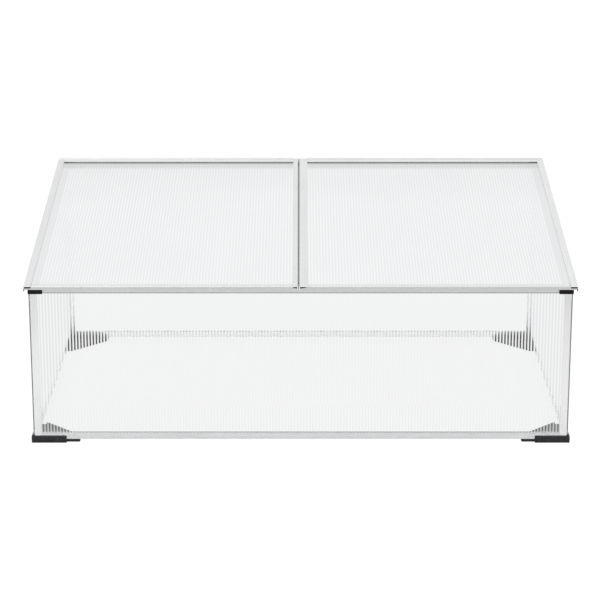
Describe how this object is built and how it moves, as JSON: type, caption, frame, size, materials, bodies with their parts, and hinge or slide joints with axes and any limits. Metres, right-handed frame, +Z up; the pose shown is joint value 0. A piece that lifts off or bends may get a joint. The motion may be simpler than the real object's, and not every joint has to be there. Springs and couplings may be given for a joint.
{
  "type": "cold frame",
  "caption": "Low sloping garden cold frame: aluminium profile frame, clear twin-wall panels, black corner feet, and hinged lids side by side with prop stays.",
  "frame": {"origin": "centre of the footprint, on the ground under the feet", "axes": "+X to the right as seen from the front (along the hinge line), +Y to the tall back, +Z up; the low front faces -Y"},
  "size_m": [1.007, 0.6405, 0.3954],
  "materials": {
    "mill_aluminium": "satin mill-finish extrusion",
    "twinwall_polycarbonate": "clear twin-wall sheet, 4 mm, ribs at 5.7 mm",
    "black_nylon": "moulded, fine texture",
    "stainless_screw": "pan heads, cross recess",
    "zinc_steel": "zinc plated",
    "aluminium_bar": "satin flat bar"
  },
  "bodies": {
    "frame": {"back_hinge_rail": "mill_aluminium", "centre_rafter": "mill_aluminium", "corner_cap_screws": "stainless_screw", "foot_screws": "stainless_screw", "front_bottom_rail": "mill_aluminium", "front_left_corner_cap": "black_nylon", "front_left_foot": "black_nylon", "front_left_post": "mill_aluminium", "front_panel": "twinwall_polycarbonate", "front_right_corner_cap": "black_nylon", "front_right_foot": "black_nylon", "front_right_post": "mill_aluminium", "front_top_rail": "mill_aluminium", "left_bottom_rail": "mill_aluminium", "left_side_panel": "twinwall_polycarbonate", "left_top_rail": "mill_aluminium", "rafter_screws": "stainless_screw", "rear_bottom_rail": "mill_aluminium", "rear_left_corner_block": "black_nylon", "rear_left_foot": "black_nylon", "rear_left_post": "mill_aluminium", "rear_panel": "twinwall_polycarbonate", "rear_right_corner_block": "black_nylon", "rear_right_foot": "black_nylon", "rear_right_post": "mill_aluminium", "right_bottom_rail": "mill_aluminium", "right_side_panel": "twinwall_polycarbonate", "right_top_rail": "mill_aluminium"},
    "left_lid": {"left_lid_front_rail": "mill_aluminium", "left_lid_hinge_rail": "mill_aluminium", "left_lid_inner_stile": "mill_aluminium", "left_lid_outer_stile": "mill_aluminium", "left_lid_panel": "twinwall_polycarbonate", "left_lid_screws": "stainless_screw", "left_stay_bracket": "zinc_steel", "left_stay_rivet": "zinc_steel", "left_stay_clip": "black_nylon"},
    "right_lid": {"right_lid_front_rail": "mill_aluminium", "right_lid_hinge_rail": "mill_aluminium", "right_lid_inner_stile": "mill_aluminium", "right_lid_outer_stile": "mill_aluminium", "right_lid_panel": "twinwall_polycarbonate", "right_lid_screws": "stainless_screw", "right_stay_bracket": "zinc_steel", "right_stay_rivet": "zinc_steel", "right_stay_clip": "black_nylon"},
    "left_stay": {"left_stay_arm": "aluminium_bar"},
    "right_stay": {"right_stay_arm": "aluminium_bar"}
  },
  "joints": [
    {"name": "left_lid_hinge", "type": "hinge", "parent": "frame", "child": "left_lid", "pos_m": [-0.254, 0.3155, 0.3912], "axis": [-1, 0, 0], "range_deg": [0, 75]},
    {"name": "right_lid_hinge", "type": "hinge", "parent": "frame", "child": "right_lid", "pos_m": [0.25, 0.3155, 0.3912], "axis": [-1, 0, 0], "range_deg": [0, 75]},
    {"name": "left_stay_pivot", "type": "hinge", "parent": "left_lid", "child": "left_stay", "pos_m": [-0.0136, -0.27668, 0.29411], "axis": [-1, 0, 0], "range_deg": [0, 95]},
    {"name": "right_stay_pivot", "type": "hinge", "parent": "right_lid", "child": "right_stay", "pos_m": [0.0094, -0.27668, 0.29411], "axis": [-1, 0, 0], "range_deg": [0, 95]}
  ]
}
